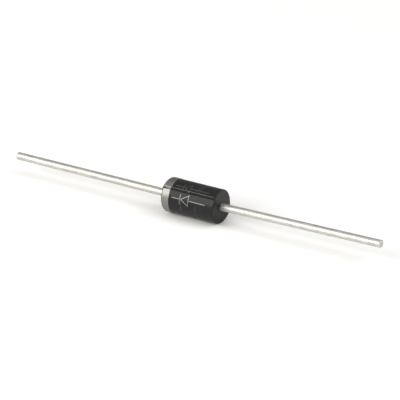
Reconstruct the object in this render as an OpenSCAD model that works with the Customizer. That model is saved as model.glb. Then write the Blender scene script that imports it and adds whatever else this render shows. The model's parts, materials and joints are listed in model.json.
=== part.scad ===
// Axial rectifier diode: a silicon chip soldered between the nail heads of two
// tinned copper leads, sealed in silicone and moulded into a black epoxy body.
//
// Millimetres, +Z up. The leads run along X with the cathode at -X, and the
// origin is the centre of the body, on the axis of the leads. The body keeps
// the form of its two-part mould: both halves draw away from one parting plane,
// which holds the axis and leans at parting_angle. The anode lead is bent
// upwards a little.

/* [Body] */
// Diameter of the body, away from its parting line
body_d = 5.3; // [4.8:0.1:5.6]
// Length of the body, along its parting line
body_len = 9.3; // [8.2:0.1:10.5]
// Lean of the parting plane: how far above level its front edge lies, in degrees
parting_angle = 41; // [0:1:90]
// Draft of the flanks beside the parting line, in degrees
flank_draft = 10; // [4:1:14]
// Draft of the two end faces, in degrees
end_draft = 4; // [1:0.5:7]
// Chamfer round the rim of each end face
rim_chamfer = 0.12; // [0.05:0.01:0.3]
// How far the upper half lies towards the cathode, against the lower half
half_shift = 0.05; // [0:0.01:0.1]

/* [Cathode band] */
// Width of the printed band, from the rim of the cathode end
band_w = 1.45; // [0.9:0.05:2]
// Thickness of the ink
ink_t = 0.03; // [0.02:0.01:0.06]
// Width of the unprinted wedge above the parting line, at the rim
band_gap_w = 0.28; // [0.15:0.01:0.5]
// Width of the ink that closes the band past the point of that wedge
band_bridge_w = 0.3; // [0.2:0.05:0.6]

/* [Leads] */
// Diameter of the lead wire
lead_d = 1.2; // [0.9:0.02:1.2]
// Length of each lead outside the body
lead_len = 27.6; // [10:0.1:35]
// Diameter at the thick end of the tapered root that heading leaves on the wire
root_d = 1.3; // [1.22:0.01:1.5]
// How far the root's taper runs on outside the body
root_len = 0.4; // [0.2:0.05:1]
// Upward bend of the anode lead where it leaves its root, in degrees
anode_bend = 1.05; // [0:0.05:3]
// Chamfer on the cut end of each lead
tip_chamfer = 0.1; // [0.05:0.01:0.2]
// Diameter of the nail head inside the body
head_d = 2.7; // [2.3:0.1:3.2]
// Thickness of the nail head's flat disc
head_t = 0.35; // [0.2:0.05:0.6]
// Length of the cone between the root and the disc
head_cone_len = 0.3; // [0.2:0.05:0.6]

/* [Chip] */
// Side of the square silicon chip
die_side = 2.1; // [1.6:0.1:2.2]
// Thickness of the chip
die_t = 0.28; // [0.2:0.01:0.35]
// Thickness of the solder on each face of the chip
solder_t = 0.06; // [0.03:0.01:0.1]
// Width of the solder's margin inside the edge of the chip
solder_margin = 0.08; // [0.03:0.01:0.2]
// Radius of the silicone bead round the chip
coating_r = 0.5; // [0.4:0.05:0.7]

/* [Hidden] */
$fn = 96;

body_r = body_d / 2;
lead_r = lead_d / 2;
// Radius of a bend, along the wire's centre line
bend_r = 2.5 * lead_d;
root_r = root_d / 2;
head_r = head_d / 2;
// Half the distance between the faces of the two nail heads
stack_half = die_t / 2 + solder_t;
// How far the ridge at the parting line stands above the round of the body
ridge_rise = body_r / cos(flank_draft) - body_r;
// How far the cutters reach from the parting plane, clear of the body, and how
// much the drafted ends fall back over that reach
cutter_reach = body_r * 1.5;
cutter_fall = cutter_reach * tan(end_draft);

// Turns a shape built on a level parting plane to the plane's real lean
module lean() {
    rotate([-parting_angle, 0, 0]) children();
}

// Carries a sketch of the cross-section along X from x0 to x1
module along_x(x0, x1) {
    translate([x0, 0, 0])
        rotate([90, 0, 90])
            linear_extrude(height = x1 - x0) children();
}

// Turns a solid of revolution from Z to the +X axis
module axis_x() {
    rotate([0, 90, 0]) children();
}

// Cross-section of the body at a radius: a circle whose sides run on as
// straight drafted flanks until the two halves meet in a low ridge
module section(r) {
    flank_x = r * cos(flank_draft);
    flank_y = r * sin(flank_draft);
    ridge_x = r / cos(flank_draft);
    circle(r = r);
    polygon([
        [ridge_x, 0], [flank_x, flank_y], [-flank_x, flank_y],
        [-ridge_x, 0], [-flank_x, -flank_y], [flank_x, -flank_y],
    ]);
}

// Everything between the two drafted end faces, which are furthest apart at
// the parting plane, or between planes that lie inside them by inset
module between_ends(inset = 0) {
    end_x = body_len / 2 - inset;
    rotate([90, 0, 0])
        linear_extrude(height = 4 * body_r, center = true)
            polygon([
                [end_x, 0], [end_x - cutter_fall, cutter_reach],
                [cutter_fall - end_x, cutter_reach], [-end_x, 0],
                [cutter_fall - end_x, -cutter_reach], [end_x - cutter_fall, -cutter_reach],
            ]);
}

// Cone that leaves the rim chamfer on the +X end of the half above the plane.
// It is square to that half's drafted end face.
module rim_cone() {
    cone_len = body_len * 1.5;
    translate([body_len / 2, 0, 0])
        rotate([0, -end_draft, 0])
            translate([-cone_len, 0, 0])
                axis_x()
                    cylinder(
                        h = cone_len,
                        r1 = body_r - rim_chamfer + cone_len,
                        r2 = body_r - rim_chamfer
                    );
}

// The moulded half above a level parting plane
module half() {
    intersection() {
        along_x(-body_len, body_len) intersection() {
            section(body_r);
            translate([-2 * body_r, 0]) square([4 * body_r, 2 * body_r]);
        }
        between_ends();
        rim_cone();
        mirror([1, 0, 0]) rim_cone();
    }
}

// One lead, along +X: nail head on the chip's solder, cone, long tapered root,
// then the wire, which turns upwards by bend degrees
module lead(bend = 0) {
    cone_x = stack_half + head_t;
    root_x = cone_x + head_cone_len;
    wire_x = body_len / 2 + root_len;
    axis_x() {
        translate([0, 0, stack_half]) cylinder(h = head_t, r = head_r);
        translate([0, 0, cone_x]) cylinder(h = head_cone_len, r1 = head_r, r2 = root_r);
        translate([0, 0, root_x]) cylinder(h = wire_x - root_x, r1 = root_r, r2 = lead_r);
    }
    translate([wire_x, 0, bend_r]) {
        if (bend > 0)
            rotate([90, 0, 0])
                rotate([0, 0, -90])
                    rotate_extrude(angle = bend) translate([bend_r, 0]) circle(r = lead_r);
        rotate([0, -bend, 0])
            translate([0, 0, -bend_r])
                axis_x() wire(lead_len - root_len - bend_r * bend * PI / 180);
    }
}

// A straight length of wire along Z, up to its cut end
module wire(len) {
    cylinder(h = len - tip_chamfer, r = lead_r);
    translate([0, 0, len - tip_chamfer])
        cylinder(h = tip_chamfer, r1 = lead_r, r2 = lead_r - tip_chamfer);
}

// Space that the silicone fills, with the chip and its solder still in it
module coating_space() {
    axis_x() {
        translate([0, 0, -stack_half]) cylinder(h = 2 * stack_half, r = head_r);
        rotate_extrude() translate([head_r, 0]) circle(r = coating_r);
    }
}

// Disc of solder on the +X face of the chip
module solder() {
    translate([die_t / 2, 0, 0])
        axis_x() cylinder(h = solder_t, r = die_side / 2 - solder_margin);
}

module moulded_body() {
    color([0.10, 0.10, 0.10])
        difference() {
            lean() {
                translate([-half_shift / 2, 0, 0]) half();
                translate([half_shift / 2, 0, 0]) rotate([180, 0, 0]) half();
            }
            lead();
            mirror([1, 0, 0]) lead();
            coating_space();
        }
}

// A skin of ink on the round of the body, from the rim chamfer inwards
module cathode_band() {
    color([0.80, 0.80, 0.79])
        lean() difference() {
            intersection() {
                along_x(-body_len, band_w - body_len / 2) section(body_r + ink_t);
                between_ends(rim_chamfer + ridge_rise + half_shift / 2);
            }
            along_x(-body_len, body_len) section(body_r);
            band_gap();
            rotate([180, 0, 0]) band_gap();
        }
}

// Wedge above the ridge that the printing roller misses, widest at the rim
module band_gap() {
    wedge_end = band_w - band_bridge_w - body_len / 2;
    rotate([90, 0, 0])
        linear_extrude(height = 2 * body_r)
            polygon([
                [-body_len / 2, 0],
                [-body_len / 2, band_gap_w],
                [wedge_end, 0],
            ]);
}

module cathode_lead() {
    color([0.86, 0.84, 0.80]) mirror([1, 0, 0]) lead();
}

module anode_lead() {
    color([0.86, 0.84, 0.80]) lead(anode_bend);
}

module cathode_solder() {
    color([0.62, 0.63, 0.65]) mirror([1, 0, 0]) solder();
}

module anode_solder() {
    color([0.62, 0.63, 0.65]) solder();
}

module silicon_die() {
    color([0.30, 0.32, 0.36]) cube([die_t, die_side, die_side], center = true);
}

module junction_coating() {
    color([0.90, 0.90, 0.88])
        difference() {
            coating_space();
            lead();
            mirror([1, 0, 0]) lead();
            solder();
            mirror([1, 0, 0]) solder();
            cube([die_t, die_side, die_side], center = true);
        }
}

moulded_body();
cathode_band();
cathode_lead();
anode_lead();
cathode_solder();
anode_solder();
silicon_die();
junction_coating();
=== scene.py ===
"""Looks for an axial rectifier diode.

A black moulded body with a printed cathode band and two tinned leads, dressed
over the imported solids. Every piece is a surface worked out from the frame's own
boxes and mounts and from the sizes in the panel, in metres, with the leads along
X and the cathode at -X.

Angles round the body are counted from the front, -Y, upwards, and the two
halves of the mould meet on the plane that leans at the parting angle.
"""

import json
import math

import bmesh
import bpy
import numpy as np
from mathutils import Matrix, Vector


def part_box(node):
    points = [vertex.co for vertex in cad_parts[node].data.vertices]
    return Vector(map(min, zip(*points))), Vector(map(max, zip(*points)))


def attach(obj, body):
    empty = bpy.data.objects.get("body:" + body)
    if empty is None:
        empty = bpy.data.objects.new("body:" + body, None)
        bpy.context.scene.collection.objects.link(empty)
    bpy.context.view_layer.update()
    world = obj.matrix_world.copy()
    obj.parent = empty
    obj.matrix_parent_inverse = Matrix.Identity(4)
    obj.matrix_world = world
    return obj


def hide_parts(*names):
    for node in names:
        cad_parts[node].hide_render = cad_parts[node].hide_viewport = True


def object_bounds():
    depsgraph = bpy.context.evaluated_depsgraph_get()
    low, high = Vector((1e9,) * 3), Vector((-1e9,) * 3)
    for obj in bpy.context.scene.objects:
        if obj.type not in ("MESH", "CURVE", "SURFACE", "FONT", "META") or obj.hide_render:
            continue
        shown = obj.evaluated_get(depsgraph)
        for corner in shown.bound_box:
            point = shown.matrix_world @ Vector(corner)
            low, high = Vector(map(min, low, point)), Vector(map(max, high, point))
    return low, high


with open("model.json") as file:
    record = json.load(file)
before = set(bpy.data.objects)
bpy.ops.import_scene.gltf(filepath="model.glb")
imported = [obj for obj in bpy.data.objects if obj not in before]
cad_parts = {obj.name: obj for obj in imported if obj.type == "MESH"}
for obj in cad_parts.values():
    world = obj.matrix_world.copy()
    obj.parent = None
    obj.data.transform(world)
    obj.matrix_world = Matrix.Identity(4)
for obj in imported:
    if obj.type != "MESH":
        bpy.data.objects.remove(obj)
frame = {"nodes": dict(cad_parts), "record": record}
CAD_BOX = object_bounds()

bl_info = {
    "name": "Axial Rectifier Diode",
    "version": (1, 0, 0),
    "blender": (4, 5, 0),
    "location": "View3D > Sidebar > Diode",
    "description": "Builds the finish of a moulded axial diode and its studio",
    "category": "Add Mesh",
}

MM = 0.001
BODY = "root"

# Edges that turn by more than this many degrees are shaded sharp
CREASE_DEGREES = 35
# Points round each lead
WIRE_TURNS = 72
# Rows of points along the body, over the round of its rim and across an end face
ROWS_ALONG = 49
ROWS_OVER_RIM = 7
ROWS_ACROSS_END = 13
# Angles, in radians, over which the ridge is rounded and the offset of the two
# halves changes sides, and the half width of the thread along the seam
RIDGE_SOFTNESS = 0.008
STEP_SOFTNESS = 0.004
THREAD_WIDTH = 0.016
# Width of the printed line, and how far a mould hairline stands proud
PEN_WIDTH = 0.15 * MM
HAIRLINE_HEIGHT = 0.012 * MM
# Cross-section of a printed stroke, as (share of its half width, share of its height)
STROKE_SECTION = (
    (-1, -0.5),
    (-0.96, 0.5),
    (-0.8, 0.8),
    (0, 0.8),
    (0.8, 0.8),
    (0.96, 0.5),
    (1, -0.5),
)


def frame_size(value):
    """A length from the frame, rounded to a hundredth of a millimetre."""
    return round(value, 5)


def pin_mount(name):
    """One of the record's pin mounts."""
    for mount in frame["record"]["mounts"]:
        if mount["name"] == name:
            return mount
    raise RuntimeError(f"the record has no mount {name}")


BODY_LOW, BODY_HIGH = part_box("moulded_body")
BAND_LOW, BAND_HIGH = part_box("cathode_band")
LEAD_LOW, LEAD_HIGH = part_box("cathode_lead")
ANODE_PIN = pin_mount("anode_lead_pin")


# ---------------------------------------------------------------- settings


class DiodeSizes(bpy.types.PropertyGroup):
    """Sizes of the dressed pieces."""

    body_radius: bpy.props.FloatProperty(
        name="Body radius",
        description="Radius of the body away from its parting line",
        default=frame_size((BODY_HIGH.y - BODY_LOW.y) / 2),
        unit="LENGTH",
    )
    half_shift: bpy.props.FloatProperty(
        name="Mould offset",
        description="How far the upper half lies towards the cathode",
        default=0.05 * MM,
        unit="LENGTH",
    )
    parting_angle: bpy.props.FloatProperty(
        name="Parting angle",
        description="Lean of the parting plane above level, seen on the front",
        default=math.radians(41),
        subtype="ANGLE",
    )
    flank_draft: bpy.props.FloatProperty(
        name="Flank draft",
        description="Draft of the flanks beside the parting line",
        default=math.radians(10),
        subtype="ANGLE",
    )
    end_draft: bpy.props.FloatProperty(
        name="End draft",
        description="Draft of the two end faces",
        default=math.radians(4),
        subtype="ANGLE",
    )
    rim_round: bpy.props.FloatProperty(
        name="Rim round",
        description="Radius of the round on the rim of each end face",
        default=0.11 * MM,
        unit="LENGTH",
    )
    seam_thread: bpy.props.FloatProperty(
        name="Seam thread",
        description="Height of the fine thread along the top of the upper flank",
        default=0.05 * MM,
        unit="LENGTH",
    )
    ink_thickness: bpy.props.FloatProperty(
        name="Ink thickness",
        description="Thickness of the printed ink",
        default=0.03 * MM,
        unit="LENGTH",
    )
    wire_radius: bpy.props.FloatProperty(
        name="Wire radius",
        description="Radius of the wire of each lead",
        default=ANODE_PIN["dims"]["r_mm"] * MM,
        unit="LENGTH",
    )
    root_radius: bpy.props.FloatProperty(
        name="Root radius",
        description="Radius at the thick end of the tapered root of each lead",
        default=0.65 * MM,
        unit="LENGTH",
    )
    root_length: bpy.props.FloatProperty(
        name="Root length",
        description="How far the root's taper runs on outside the body",
        default=0.4 * MM,
        unit="LENGTH",
    )
    anode_bend: bpy.props.FloatProperty(
        name="Anode bend",
        description="Upward bend of the anode lead where it leaves its root",
        default=math.atan2(ANODE_PIN["axis"][2], ANODE_PIN["axis"][0]),
        subtype="ANGLE",
    )
    head_disc: bpy.props.FloatProperty(
        name="Nail head disc",
        description="Thickness of the flat disc of the nail head",
        default=0.35 * MM,
        unit="LENGTH",
    )
    head_cone: bpy.props.FloatProperty(
        name="Nail head cone",
        description="Length of the cone between the nail head and the root",
        default=0.3 * MM,
        unit="LENGTH",
    )
    tip_chamfer: bpy.props.FloatProperty(
        name="Tip chamfer",
        description="Chamfer on the cut end of each lead",
        default=0.1 * MM,
        unit="LENGTH",
    )
    bead_radius: bpy.props.FloatProperty(
        name="Silicone bead",
        description="Radius of the silicone bead round the chip",
        default=0.5 * MM,
        unit="LENGTH",
    )


class DiodeColours(bpy.types.PropertyGroup):
    """Colours of the finishes."""

    epoxy: bpy.props.FloatVectorProperty(
        name="Epoxy",
        description="Black moulding compound",
        default=(0.012, 0.012, 0.0125),
        subtype="COLOR",
        size=3,
    )
    ink: bpy.props.FloatVectorProperty(
        name="Ink",
        description="Silver-grey printing ink",
        default=(0.235, 0.232, 0.223),
        subtype="COLOR",
        size=3,
    )
    tin: bpy.props.FloatVectorProperty(
        name="Tin",
        description="Tin plating on the leads",
        default=(0.60, 0.58, 0.54),
        subtype="COLOR",
        size=3,
    )
    floor: bpy.props.FloatVectorProperty(
        name="Floor",
        description="Plain pale floor",
        default=(0.95, 0.95, 0.95),
        subtype="COLOR",
        size=3,
    )


class DiodeStage(bpy.types.PropertyGroup):
    """Camera and light."""

    azimuth: bpy.props.FloatProperty(
        name="Azimuth",
        description="Camera azimuth, 0 looks along +Y",
        default=math.radians(32.04),
        subtype="ANGLE",
    )
    elevation: bpy.props.FloatProperty(
        name="Elevation",
        description="Camera elevation above level",
        default=math.radians(23.70),
        subtype="ANGLE",
    )
    distance: bpy.props.FloatProperty(
        name="Distance",
        description="Distance from the camera to the body's centre",
        default=0.6487,
        unit="LENGTH",
    )
    aim_right: bpy.props.FloatProperty(
        name="Aim right",
        description="How far the camera aims to the right of the body's centre",
        default=0.66 * MM,
        unit="LENGTH",
    )
    aim_up: bpy.props.FloatProperty(
        name="Aim up",
        description="How far the camera aims above the body's centre",
        default=0.055 * MM,
        unit="LENGTH",
    )
    focal_length: bpy.props.FloatProperty(
        name="Focal length",
        description="Focal length of the lens in millimetres",
        default=388.1,
    )


def sizes():
    """The sizes in the panel."""
    return bpy.context.scene.diode_sizes


def colours():
    """The colours in the panel."""
    return bpy.context.scene.diode_colours


# ------------------------------------------------------------ mesh helpers


def add_mesh(name, points, faces, material):
    """A shaded object from an array of points and a list of faces."""
    mesh = bpy.data.meshes.new(name)
    mesh.from_pydata(points.tolist(), [], faces)
    mesh.validate()
    mesh.shade_smooth()
    mesh.materials.append(material)
    piece = bpy.data.objects.new(name, mesh)
    bpy.context.scene.collection.objects.link(piece)
    return piece


def ring_faces(rows, columns, close_rows=False):
    """Four-sided faces between rows of points that each close on themselves.

    Face (i, j) joins point j and j + 1 of row i to those of row i + 1, with
    columns counted round, and rows too where close_rows says so.
    """
    row = np.arange(rows if close_rows else rows - 1)[:, None]
    column = np.arange(columns)[None, :]
    after_row = (row + 1) % rows
    after_column = (column + 1) % columns
    corners = (
        row * columns + column,
        row * columns + after_column,
        after_row * columns + after_column,
        after_row * columns + column,
    )
    return np.stack(corners, axis=-1).reshape(-1, 4).tolist()


def lathe(name, profile, turns, material, shape):
    """A closed solid of revolution about X.

    profile is a list of (x, r) from one point on the axis to the other. Point
    (i, j) is (x_i, -r_i cos a_j, r_i sin a_j), and both ends are single points.
    shape moves all the points before they are joined.
    """
    profile = np.array(profile)
    inner = profile[1:-1]
    angle = np.linspace(0, 2 * math.pi, turns, endpoint=False)
    x = np.repeat(inner[:, :1], turns, axis=1)
    y = -inner[:, 1:] * np.cos(angle)
    z = inner[:, 1:] * np.sin(angle)
    points = np.stack([x, y, z], axis=-1).reshape(-1, 3)
    ends = np.array([[profile[0, 0], 0, 0], [profile[-1, 0], 0, 0]])
    rows = len(inner)
    faces = ring_faces(rows, turns)
    first, last = rows * turns, rows * turns + 1
    around = np.arange(turns)
    following = (around + 1) % turns
    base = (rows - 1) * turns
    faces += [[first, int(b), int(a)] for a, b in zip(around, following)]
    faces += [[last, int(base + a), int(base + b)] for a, b in zip(around, following)]
    return add_mesh(name, shape(np.concatenate([points, ends])), faces, material)


def arc(centre, radius, start, end, count):
    """Points (x, r) on a circle about centre, from angle start to end in degrees."""
    angle = np.radians(np.linspace(start, end, count))
    x = centre[0] + radius * np.cos(angle)
    r = centre[1] + radius * np.sin(angle)
    return list(zip(x.tolist(), r.tolist()))


def face_outwards(piece):
    """Turns every face of a closed mesh outwards."""
    work = bmesh.new()
    work.from_mesh(piece.data)
    bmesh.ops.recalc_face_normals(work, faces=work.faces)
    work.to_mesh(piece.data)
    work.free()


def sharpen(piece, degrees):
    """Marks edges that turn by more than an angle as sharp."""
    piece.data.set_sharp_from_angle(angle=math.radians(degrees))


def dress(piece, slot, *nodes):
    """Lets a finished piece ride on the body and stand for its solids."""
    face_outwards(piece)
    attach(piece, BODY)
    if nodes:
        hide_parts(*nodes)


# ------------------------------------------------------------ body's form


def mould_angles():
    """Angles round the body from its front ridge, crowded near both ridges.

    An even run of steps joins short fine runs on each side of the two ridges,
    where the flanks, the thread and the offset of the halves are narrow.
    """
    coarse = np.linspace(0, 2 * math.pi, 240, endpoint=False)
    near = np.radians(np.concatenate([np.linspace(-13, 13, 105), [-0.12, -0.06, 0.06, 0.12]]))
    fine = np.concatenate([near, near + math.pi])
    angles = np.mod(np.concatenate([coarse, fine]), 2 * math.pi)
    return np.unique(np.round(angles, 5))


def flank_radius(angle, radius):
    """Radius of the body's cross-section at an angle from its front ridge.

    It is a circle, and within the draft angle of a ridge a tangent line, whose
    radius is the circle's over the cosine of the angle left to its tangent
    point. A small constant under a root rounds the ridge.
    """
    draft = sizes().flank_draft
    off = np.abs(np.mod(angle + math.pi / 2, math.pi) - math.pi / 2)
    off = np.sqrt(off * off + RIDGE_SOFTNESS * RIDGE_SOFTNESS)
    return radius / np.cos(np.clip(draft - off, 0, None))


def seam_thread(angle, x):
    """Height of the thread along the top of the upper half's two flanks.

    It is a narrow bell round the flank's tangent point, whose height wanders
    along the body as a sum of slow waves.
    """
    size = sizes()
    upper = np.sin(angle) > 0
    off = np.abs(np.mod(angle + math.pi / 2, math.pi) - math.pi / 2)
    bell = np.exp(-(((off - size.flank_draft) / THREAD_WIDTH) ** 2))
    wander = 0.75 + 0.2 * np.sin(x / (0.61 * MM)) + 0.15 * np.sin(x / (0.23 * MM) + 1)
    return np.where(upper, size.seam_thread * bell * wander, 0.0)


def end_shift(angle):
    """Offset of each half of the mould along X, stepping across the ridges."""
    step = np.tanh(np.sin(angle) / STEP_SOFTNESS)
    return -0.5 * sizes().half_shift * step


def end_plane(angle, r, side):
    """Where an end face stands at an angle and radius: it falls back from the
    parting plane by the height above it times the tangent of the draft."""
    size = sizes()
    half_length = (BODY_HIGH.x - BODY_LOW.x - size.half_shift) / 2
    fall = np.abs(r * np.sin(angle)) * math.tan(size.end_draft)
    return side * (half_length - fall) + end_shift(angle)


def place_on_body(angle, r, x):
    """Points at angles from the front ridge, radii and places along X."""
    turned = angle + sizes().parting_angle
    return np.stack([x + 0 * r, -r * np.cos(turned), r * np.sin(turned)], axis=-1)


def body_loop():
    """The closed outline that is carried round the body, as rows of points.

    Each row holds one point for every angle. The rows run along the outside
    from the cathode rim to the anode rim, over the rim's round, in across the
    end face, through the space round the leads and the silicone bead, and out
    across the other end face.
    """
    size = sizes()
    angle = mould_angles()
    outer = flank_radius(angle, size.body_radius)
    rim = size.rim_round
    rows = []

    def outside(share):
        x_low = end_plane(angle, outer, -1) + rim
        x_high = end_plane(angle, outer, 1) - rim
        x = x_low + share * (x_high - x_low)
        return place_on_body(angle, outer + seam_thread(angle, x), x)

    def rim_round(side, turn):
        r = outer - rim * (1 - math.sin(turn))
        x = end_plane(angle, r, side) - side * rim * (1 - math.cos(turn))
        fade = math.sin(turn) ** 4
        return place_on_body(angle, r + fade * seam_thread(angle, x), x)

    def end_face(side, share):
        bore = root_radius(np.abs(end_plane(angle, size.wire_radius, side)))
        r = (outer - rim) + share * (bore - outer + rim)
        return place_on_body(angle, r, end_plane(angle, r, side))

    def cavity(x, r):
        return place_on_body(angle, np.full_like(angle, r), np.full_like(angle, x))

    steps = np.linspace(0, 1, ROWS_ALONG)
    turns = np.linspace(math.pi / 2, 0, ROWS_OVER_RIM)[1:]
    inward = np.linspace(0, 1, ROWS_ACROSS_END)[1:]
    rows += [outside(s) for s in steps]
    rows += [rim_round(1, t) for t in turns]
    rows += [end_face(1, s) for s in inward]
    rows += [cavity(x, r) for x, r in cavity_profile()]
    rows += [end_face(-1, s) for s in inward[::-1]]
    rows += [rim_round(-1, t) for t in turns[::-1]]
    return np.array(rows)


def root_places():
    """Where the root of the anode lead starts at the nail head's cone, and where
    its taper ends outside the body."""
    size = sizes()
    start = frame_size(-LEAD_HIGH.x) + size.head_disc + size.head_cone
    body_end = (BODY_HIGH.x - BODY_LOW.x - size.half_shift) / 2
    return start, body_end + size.root_length


def root_radius(x):
    """Radius of the long tapered root at a distance from the body's centre."""
    size = sizes()
    start, end = root_places()
    return size.root_radius + (size.wire_radius - size.root_radius) * (x - start) / (end - start)


def cavity_profile():
    """(x, r) along the space inside the body, from the anode to the cathode."""
    size = sizes()
    root_x = root_places()[0]
    head_radius = frame_size(LEAD_HIGH.y)
    half = [(x, root_radius(x)) for x in (4 * MM, 2.5 * MM, root_x)]
    half.append((root_x - size.head_cone, head_radius))
    bulge = arc((0, head_radius), size.bead_radius, 0, 180, 17)
    return half + bulge + [(-x, r) for x, r in half[::-1]]


# --------------------------------------------------------------- materials


def new_material(name):
    """An empty node material with its output and a Principled shader."""
    material = bpy.data.materials.new(name)
    material.use_nodes = True
    tree = material.node_tree
    tree.nodes.clear()
    output = tree.nodes.new("ShaderNodeOutputMaterial")
    shader = tree.nodes.new("ShaderNodeBsdfPrincipled")
    tree.links.new(shader.outputs["BSDF"], output.inputs["Surface"])
    return material, tree, shader


def object_coordinates(tree, scale=(1, 1, 1)):
    """Object coordinates, stretched by a Mapping node."""
    coordinates = tree.nodes.new("ShaderNodeTexCoord")
    mapping = tree.nodes.new("ShaderNodeMapping")
    mapping.inputs["Scale"].default_value = scale
    tree.links.new(coordinates.outputs["Object"], mapping.inputs["Vector"])
    return mapping.outputs["Vector"]


def noise(tree, vector, scale, detail=4.0, roughness=0.55):
    """A noise texture's factor."""
    node = tree.nodes.new("ShaderNodeTexNoise")
    node.inputs["Scale"].default_value = scale
    node.inputs["Detail"].default_value = detail
    node.inputs["Roughness"].default_value = roughness
    tree.links.new(vector, node.inputs["Vector"])
    return node.outputs["Fac"]


def ramp(tree, factor, stops):
    """A colour ramp over a factor, with (place, colour) stops."""
    node = tree.nodes.new("ShaderNodeValToRGB")
    elements = node.color_ramp.elements
    while len(elements) < len(stops):
        elements.new(0.5)
    for element, (place, colour) in zip(elements, stops):
        element.position = place
        element.color = (*colour, 1)
    tree.links.new(factor, node.inputs["Fac"])
    return node.outputs["Color"]


def shades(colour, low, high):
    """A colour at two brightnesses."""
    return tuple(c * low for c in colour), tuple(c * high for c in colour)


def bump(tree, shader, height, strength, distance):
    """Feeds a height to the shader's normal through a Bump node."""
    node = tree.nodes.new("ShaderNodeBump")
    node.inputs["Strength"].default_value = strength
    node.inputs["Distance"].default_value = distance
    tree.links.new(height, node.inputs["Height"])
    tree.links.new(node.outputs["Normal"], shader.inputs["Normal"])


def map_range(tree, factor, low, high):
    """A factor carried from 0..1 to low..high."""
    node = tree.nodes.new("ShaderNodeMapRange")
    node.inputs["To Min"].default_value = low
    node.inputs["To Max"].default_value = high
    tree.links.new(factor, node.inputs["Value"])
    return node.outputs["Result"]


def epoxy_material():
    """Black moulding epoxy: near-black, softly glossy, with a fine grain."""
    material, tree, shader = new_material("epoxy")
    vector = object_coordinates(tree)
    dark, light = shades(colours().epoxy, 0.6, 1.5)
    clouds = noise(tree, vector, 2600, detail=5, roughness=0.7)
    tree.links.new(
        ramp(tree, clouds, [(0.3, dark), (0.7, light)]), shader.inputs["Base Color"]
    )
    tree.links.new(map_range(tree, clouds, 0.28, 0.42), shader.inputs["Roughness"])
    shader.inputs["Specular IOR Level"].default_value = 0.2
    bump(tree, shader, noise(tree, vector, 4500, detail=4), 0.4, 0.01 * MM)
    return material


def hairline_material(name, lightness):
    """Epoxy that stands proud as a hairline, in a grey that is the epoxy's colour times
    lightness, scuffed darker in places.
    On the seam hairlines that lightness is a painted highlight along the thread."""
    material, tree, shader = new_material(name)
    # The grey is the epoxy's colour times lightness; on the seam hairlines it is a painted
    # highlight
    dark, light = shades(colours().epoxy, 0.3 * lightness, lightness)
    scuff = noise(tree, object_coordinates(tree), 1400, detail=3)
    tree.links.new(
        ramp(tree, scuff, [(0.35, dark), (0.65, light)]), shader.inputs["Base Color"]
    )
    shader.inputs["Roughness"].default_value = 0.5
    return material


def ink_material(name, strength):
    """Silver-grey ink: fine flakes, half metal, rougher than the epoxy. Its colour is scaled by
    strength, and the upper row of marks is given less than the lower, so it is darker."""
    material, tree, shader = new_material(name)
    vector = object_coordinates(tree)
    dark, light = shades(colours().ink, 0.88 * strength, 1.1 * strength)
    flakes = noise(tree, vector, 7000, detail=2)
    tree.links.new(
        ramp(tree, flakes, [(0.35, dark), (0.65, light)]), shader.inputs["Base Color"]
    )
    shader.inputs["Metallic"].default_value = 0.95
    shader.inputs["Roughness"].default_value = 0.42
    bump(tree, shader, noise(tree, vector, 5000, detail=3), 0.3, 0.01 * MM)
    return material


def tin_material():
    """Matt tin on wire: warm silver, drawn along X and mottled by reflow."""
    material, tree, shader = new_material("tinned_wire")
    along = object_coordinates(tree, (0.35, 1, 1))
    vector = object_coordinates(tree)
    dark, light = shades(colours().tin, 0.78, 1.1)
    mottle = noise(tree, along, 2400, detail=5, roughness=0.65)
    tree.links.new(
        ramp(tree, mottle, [(0.3, dark), (0.68, light)]), shader.inputs["Base Color"]
    )
    shader.inputs["Metallic"].default_value = 0.9
    tree.links.new(map_range(tree, mottle, 0.36, 0.54), shader.inputs["Roughness"])
    bump(tree, shader, noise(tree, vector, 2200, detail=4), 0.4, 0.03 * MM)
    return material


def inner_material(name, colour, metallic, roughness, scale):
    """A plain finish for a sealed inner piece, with a faint cloud in it."""
    material, tree, shader = new_material(name)
    dark, light = shades(colour, 0.9, 1.08)
    clouds = noise(tree, object_coordinates(tree), scale)
    tree.links.new(
        ramp(tree, clouds, [(0.35, dark), (0.65, light)]), shader.inputs["Base Color"]
    )
    shader.inputs["Metallic"].default_value = metallic
    shader.inputs["Roughness"].default_value = roughness
    return material


def floor_material():
    """Plain pale floor."""
    material, tree, shader = new_material("pale_floor")
    shader.inputs["Base Color"].default_value = (*colours().floor, 1)
    shader.inputs["Roughness"].default_value = 0.9
    shader.inputs["Specular IOR Level"].default_value = 0.0
    return material


# --------------------------------------------------------------- operators


class DIODE_OT_body(bpy.types.Operator):
    """Builds the moulded epoxy body"""

    bl_idname = "diode.body"
    bl_label = "Moulded body"

    def execute(self, context):
        rows = body_loop()
        count, columns = rows.shape[:2]
        faces = ring_faces(count, columns, close_rows=True)
        piece = add_mesh("moulded_body_skin", rows.reshape(-1, 3), faces, epoxy_material())
        sharpen(piece, CREASE_DEGREES)
        dress(piece, "epoxy", "moulded_body")
        return {"FINISHED"}


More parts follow.
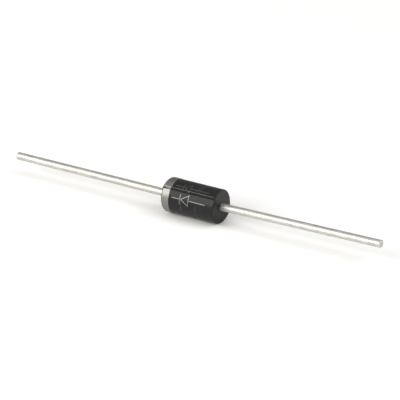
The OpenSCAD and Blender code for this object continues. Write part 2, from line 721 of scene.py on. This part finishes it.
class DIODE_OT_band(bpy.types.Operator):
    """Prints the cathode band"""

    bl_idname = "diode.band"
    bl_label = "Cathode band"

    def execute(self, context):
        size = sizes()
        ink = ink_material("band_ink", 1.0)
        angle = mould_angles()
        thickness = size.ink_thickness
        surface = flank_radius(angle, size.body_radius)
        ridge = surface.max() - size.body_radius
        start = end_plane(angle, surface, -1) + size.rim_round + ridge
        start = np.maximum(start, BAND_LOW.x)
        gap = unprinted_gap(angle)
        start = start + gap
        stop = np.full_like(angle, BAND_HIGH.x) + band_edge_wander(angle)

        def row(share, depth):
            x = start + share * (stop - start)
            return place_on_body(angle, surface + seam_thread(angle, x) + depth, x)

        sink = 0.5 * thickness
        across = np.linspace(0, 1, 25)
        rows = [row(0, -sink), row(0, 0.6 * thickness)]
        rows += [row(s, thickness) for s in 0.02 + 0.96 * across]
        rows += [row(1, 0.6 * thickness), row(1, -sink)]
        rows = np.array(rows)
        faces = ring_faces(rows.shape[0], rows.shape[1], close_rows=True)
        piece = add_mesh("cathode_band_print", rows.reshape(-1, 3), faces, ink)
        dress(piece, "band_ink", "cathode_band")
        return {"FINISHED"}


def unprinted_gap(angle):
    """How far the ink starts from its usual edge, above each ridge.

    The ink is left off a wedge on the upper side of the front ridge and on the
    opposite side of the back one, so the dark epoxy shows: a triangle, deepest just past the
    ridge.
    """
    reach = 1.0 * MM
    width = math.radians(6.5)
    edge = math.radians(0.5)
    off = np.mod(angle, math.pi)
    inside = np.clip(1 - off / width, 0, 1)
    rise = np.clip(off / edge, 0, 1)
    return reach * inside * rise


def band_edge_wander(angle):
    """Small unevenness of the band's inner edge, as two slow waves."""
    depth = 0.012 * MM
    return -depth * (1 + 0.5 * np.sin(5 * angle) + 0.5 * np.sin(11 * angle + 2))


class DIODE_OT_leads(bpy.types.Operator):
    """Builds the two tinned leads with their nail heads"""

    bl_idname = "diode.leads"
    bl_label = "Leads"

    def execute(self, context):
        material = tin_material()
        for node, side, shape in (
            ("cathode_lead", -1, drawn_wire),
            ("anode_lead", 1, lambda points: bend_upwards(drawn_wire(points))),
        ):
            profile = [(side * x, r) for x, r in lead_profile()]
            piece = lathe(node + "_wire", profile, WIRE_TURNS, material, shape)
            sharpen(piece, CREASE_DEGREES)
            dress(piece, "tinned_wire", node)
        return {"FINISHED"}


def lead_profile():
    """(x, r) along one lead, from the chip's solder to the cut end."""
    size = sizes()
    head_radius = frame_size(LEAD_HIGH.y)
    root_x, wire_x = root_places()
    cone_x = root_x - size.head_cone
    face_x = cone_x - size.head_disc
    tip_x = frame_size(-LEAD_LOW.x)
    chamfer = size.tip_chamfer
    taper_points, wire_points = 40, 260
    profile = [(face_x, 0), (face_x, 0.5 * head_radius), (face_x, head_radius)]
    profile.append((cone_x, head_radius))
    profile += [(x, root_radius(x)) for x in np.linspace(root_x, wire_x, taper_points)]
    along_wire = np.linspace(wire_x, tip_x - chamfer, wire_points)[1:]
    profile += [(x, size.wire_radius) for x in along_wire]
    profile.append((tip_x - 0.35 * chamfer, size.wire_radius - 0.45 * chamfer))
    profile.append((tip_x, size.wire_radius - chamfer))
    profile += [(tip_x, 0.5 * size.wire_radius), (tip_x, 0)]
    return profile


def drawn_wire(points):
    """Pulls the surface in by a few microns, in shallow waves along and round
    the wire, so that its shine is as uneven as dipped tin."""
    x, y, z = points.T
    angle = np.arctan2(z, -y)
    wave = (
        np.sin(x / (0.9 * MM) + 2 * angle)
        + 0.7 * np.sin(x / (0.37 * MM) - 3 * angle + 1)
        + 0.5 * np.sin(x / (1.9 * MM) + 5 * angle + 2)
    )
    depth = 0.0016 * MM
    crest = 2.2
    core = 0.3 * MM
    dent = depth * (wave - crest)
    share = 1 + dent / np.maximum(np.hypot(y, z), core)
    return np.stack([x, y * share, z * share], axis=-1)


def bend_upwards(points):
    """Bends a lead along +X upwards where its root ends.

    Beyond that place the centre line turns along an arc of bend_radius by the
    anode's bend and runs on straight, and each cross-section turns with it.
    """
    size = sizes()
    bend_radius = 5 * size.wire_radius
    x, y, z = points.T
    past = np.clip(x - root_places()[1], 0, None)
    turn = np.clip(past / bend_radius, 0, size.anode_bend)
    straight = past - bend_radius * turn
    centre_x = x - past + bend_radius * np.sin(turn) + straight * np.cos(turn)
    centre_z = bend_radius * (1 - np.cos(turn)) + straight * np.sin(turn)
    return np.stack([centre_x - z * np.sin(turn), y, centre_z + z * np.cos(turn)], axis=-1)


class DIODE_OT_mark(bpy.types.Operator):
    """Prints the polarity symbol twice, one above the other"""

    bl_idname = "diode.mark"
    bl_label = "Polarity symbol"

    def execute(self, context):
        size = sizes()
        for row, centre, height, strength in (
            ("lower", 18.5, 1.6 * MM, 0.8),
            ("upper", 62.0, 1.3 * MM, 0.4),
        ):
            ink = ink_material(f"mark_ink_{row}", strength)
            for number, stroke in enumerate(symbol_strokes(height)):
                name = f"polarity_mark_{row}_{number}"
                piece = print_stroke(name, stroke, centre, ink, PEN_WIDTH, size.ink_thickness)
                dress(piece, "band_ink")
        return {"FINISHED"}


class DIODE_OT_hairlines(bpy.types.Operator):
    """Adds the hairlines that the joints of the mould leave"""

    bl_idname = "diode.hairlines"
    bl_label = "Mould hairlines"

    def execute(self, context):
        radius = sizes().body_radius
        for name, material, pen, start, end in mould_hairlines():
            middle = (start[1] + end[1]) / 2
            stroke = [(x * MM, math.radians(a - middle) * radius) for x, a in (start, end)]
            piece = print_stroke(name, stroke, middle, material, pen, HAIRLINE_HEIGHT)
            dress(piece, "epoxy")
        return {"FINISHED"}


def mould_hairlines():
    """Name, material, width and two ends, in millimetres along X and degrees up
    from the front, of each hairline.

    One runs along the top of each upper flank, in a lighter grey that is a painted highlight
    along the thread. The others run round the body where inserts of the mould meet, straight on
    the lower half and slanting on the upper one.
    """
    faint = hairline_material("faint_hairline", 9.0)
    # Painted highlight: the seam hairlines get a much lighter grey that stands for the glint
    # along the thread
    seam_highlight = hairline_material("seam_highlight_hairline", 14.0)
    seam = math.degrees(sizes().parting_angle + sizes().flank_draft)
    back = 180 + 2 * math.degrees(sizes().parting_angle) - seam
    return (
        ("seam_hairline_front", seam_highlight, 0.07 * MM, (-3.15, seam), (4.35, seam)),
        ("seam_hairline_back", seam_highlight, 0.07 * MM, (-3.15, back), (4.35, back)),
        ("lower_hairline_cathode", faint, 0.06 * MM, (-1.05, -42), (-1.05, 20)),
        ("lower_hairline_anode", faint, 0.06 * MM, (1.55, -42), (1.55, 6)),
        ("upper_hairline_cathode", faint, 0.06 * MM, (1.07, 54), (1.43, 88)),
        ("upper_hairline_anode", faint, 0.06 * MM, (1.57, 56), (1.93, 96)),
    )


def symbol_strokes(height):
    """Strokes of a diode symbol on the flat, as lists of (along, up).

    A line runs in from the cathode side to a bar, and an open triangle points
    at the bar, with a line out on the anode side.
    """
    half = height / 2
    bar_x = -1.25 * MM
    back_x = bar_x + 0.9 * height
    left_x, right_x = -2.7 * MM, 3.2 * MM
    return [
        [(left_x, 0), (bar_x - 0.05 * MM, 0)],
        [(bar_x, -half), (bar_x, half)],
        [(bar_x + 0.18 * MM, 0), (back_x, half), (back_x, -half), (bar_x + 0.18 * MM, 0)],
        [(back_x + 0.1 * MM, 0), (right_x, 0)],
    ]


def print_stroke(name, stroke, centre, material, pen, height):
    """A stroke of ink on the round of the body, as one closed skin.

    The stroke's line is cut into short even steps, and widened to both sides by
    half the pen's width along the bisector of the steps before and after. The
    flat pattern is then rolled onto the body: the height up the pattern is an
    arc, and the ink stands a little proud of the surface.
    """
    size = sizes()
    step = 0.08 * MM
    tightest = 0.45
    corners = np.array(stroke)
    closed = bool(np.allclose(corners[0], corners[-1]))
    line = [corners[0]]
    for a, b in zip(corners[:-1], corners[1:]):
        count = max(2, int(np.linalg.norm(b - a) / step))
        line += [a + (b - a) * t for t in np.linspace(0, 1, count + 1)[1:]]
    line = np.array(line[:-1] if closed else line)
    if closed:
        before = line - np.roll(line, 1, axis=0)
        after = np.roll(line, -1, axis=0) - line
    else:
        steps = np.diff(line, axis=0)
        before = np.vstack([steps[:1], steps])
        after = np.vstack([steps, steps[-1:]])
    before /= np.linalg.norm(before, axis=1)[:, None]
    after /= np.linalg.norm(after, axis=1)[:, None]
    bisector = before + after
    bisector /= np.linalg.norm(bisector, axis=1)[:, None]
    normal = np.stack([-bisector[:, 1], bisector[:, 0]], axis=1)
    stretch = 1 / np.clip(np.sum(bisector * before, axis=1), tightest, 1)
    half = pen / 2 * stretch
    rows = []
    for sideways, lift in STROKE_SECTION:
        flat = line + normal * (half * sideways)[:, None]
        angle = math.radians(centre) + flat[:, 1] / size.body_radius - size.parting_angle
        surface = flank_radius(angle, size.body_radius) + seam_thread(angle, flat[:, 0])
        rows.append(place_on_body(angle, surface + lift * height, flat[:, 0]))
    rows = np.array(rows)
    grid = rows.transpose(1, 0, 2)
    faces = ring_faces(grid.shape[0], grid.shape[1], close_rows=closed)
    if not closed:
        columns = grid.shape[1]
        base = (grid.shape[0] - 1) * columns
        faces.append(list(range(columns)))
        faces.append([base + c for c in range(columns)][::-1])
    return add_mesh(name, grid.reshape(-1, 3), faces, material)


class DIODE_OT_inner(bpy.types.Operator):
    """Gives the chip, its solder and its silicone their finishes"""

    bl_idname = "diode.inner"
    bl_label = "Inner pieces"

    def execute(self, context):
        solder = inner_material("solder", (0.55, 0.56, 0.58), 1.0, 0.4, 3000)
        silicon = inner_material("silicon", (0.16, 0.17, 0.20), 0.6, 0.12, 1500)
        silicone = inner_material("silicone", (0.82, 0.82, 0.80), 0.0, 0.5, 1200)
        for node, material in (
            ("cathode_solder", solder),
            ("anode_solder", solder),
            ("silicon_die", silicon),
            ("junction_coating", silicone),
        ):
            data = frame["nodes"][node].data
            data.materials.clear()
            data.materials.append(material)
        return {"FINISHED"}


class DIODE_OT_stage(bpy.types.Operator):
    """Builds the floor, the lights and the camera"""

    bl_idname = "diode.stage"
    bl_label = "Stage"

    def execute(self, context):
        build_floor()
        build_lights()
        build_camera()
        return {"FINISHED"}


def build_floor():
    """A wide level sheet just under the body's lowest point."""
    reach = 3.0
    clearance = 0.01 * MM
    height = CAD_BOX[0][2] - clearance
    corners = np.array([[-1, -1, 0], [1, -1, 0], [1, 1, 0], [-1, 1, 0]], float) * reach
    corners[:, 2] = height
    floor = add_mesh("floor", corners, [[0, 1, 2, 3]], floor_material())


def area_light(name, azimuth, elevation, distance, width, height, energy, colour=(1, 1, 1)):
    """A rectangular light that faces the body from an azimuth and elevation."""
    data = bpy.data.lights.new(name, "AREA")
    data.shape = "RECTANGLE"
    data.size = width
    data.size_y = height
    data.energy = energy
    data.color = colour
    light = bpy.data.objects.new(name, data)
    turn, rise = math.radians(azimuth), math.radians(elevation)
    away = Vector(
        (math.sin(turn) * math.cos(rise), -math.cos(turn) * math.cos(rise), math.sin(rise))
    )
    light.location = away * distance
    light.rotation_euler = away.to_track_quat("Z", "Y").to_euler()
    bpy.context.scene.collection.objects.link(light)


def build_lights():
    """A broad softbox to the front left, weak ones overhead and to the right,
    and a dim room."""
    area_light("softbox", -32.5, 28, 0.7, 0.75, 0.46, 4.9, (1.0, 0.985, 0.95))
    area_light("overhead", 0, 90, 1.0, 1.0, 1.0, 2.2)
    area_light("fill", 100, 38, 1.0, 0.8, 0.8, 5.0)
    world = bpy.data.worlds.new("room")
    world.use_nodes = True
    background = world.node_tree.nodes["Background"]
    background.inputs["Color"].default_value = (1.0, 0.98, 0.95, 1)
    background.inputs["Strength"].default_value = 0.35
    bpy.context.scene.world = world


def build_camera():
    """A long lens at the azimuth and elevation in the panel, aimed a little to
    the side of the body's centre."""
    stage = bpy.context.scene.diode_stage
    turn, rise = stage.azimuth, stage.elevation
    back = Vector(
        (math.sin(turn) * math.cos(rise), -math.cos(turn) * math.cos(rise), math.sin(rise))
    )
    right = Vector((math.cos(turn), math.sin(turn), 0))
    up = back.cross(right)
    data = bpy.data.cameras.new("camera")
    data.lens = stage.focal_length
    data.sensor_width = 36.0
    data.clip_start = 0.01
    data.clip_end = 10.0
    camera = bpy.data.objects.new("camera", data)
    place = back * stage.distance + right * stage.aim_right + up * stage.aim_up
    turned = Matrix((right, up, back)).transposed().to_4x4()
    camera.matrix_world = Matrix.Translation(place) @ turned
    bpy.context.scene.collection.objects.link(camera)
    bpy.context.scene.camera = camera


class DIODE_PT_panel(bpy.types.Panel):
    """Lists the steps that build the diode"""

    bl_idname = "DIODE_PT_panel"
    bl_label = "Axial Rectifier Diode"
    bl_space_type = "VIEW_3D"
    bl_region_type = "UI"
    bl_category = "Diode"

    def draw(self, context):
        layout = self.layout
        for operator in OPERATORS:
            layout.operator(operator.bl_idname)
        for group in ("diode_sizes", "diode_colours", "diode_stage"):
            settings = getattr(context.scene, group)
            box = layout.box()
            for name in settings.__annotations__:
                box.prop(settings, name)


OPERATORS = (
    DIODE_OT_stage,
    DIODE_OT_body,
    DIODE_OT_band,
    DIODE_OT_leads,
    DIODE_OT_mark,
    DIODE_OT_hairlines,
    DIODE_OT_inner,
)
GROUPS = (DiodeSizes, DiodeColours, DiodeStage)


def register():
    for group in GROUPS:
        bpy.utils.register_class(group)
    for operator in OPERATORS:
        bpy.utils.register_class(operator)
    bpy.utils.register_class(DIODE_PT_panel)
    scene = bpy.types.Scene
    scene.diode_sizes = bpy.props.PointerProperty(type=DiodeSizes)
    scene.diode_colours = bpy.props.PointerProperty(type=DiodeColours)
    scene.diode_stage = bpy.props.PointerProperty(type=DiodeStage)


def unregister():
    scene = bpy.types.Scene
    del scene.diode_sizes
    del scene.diode_colours
    del scene.diode_stage
    bpy.utils.unregister_class(DIODE_PT_panel)
    for operator in reversed(OPERATORS):
        bpy.utils.unregister_class(operator)
    for group in reversed(GROUPS):
        bpy.utils.unregister_class(group)


def main():
    register()
    bpy.context.scene.view_settings.view_transform = "Standard"
    bpy.ops.diode.stage()
    bpy.ops.diode.body()
    bpy.ops.diode.band()
    bpy.ops.diode.leads()
    bpy.ops.diode.mark()
    bpy.ops.diode.hairlines()
    bpy.ops.diode.inner()


if __name__ == "__main__":
    main()
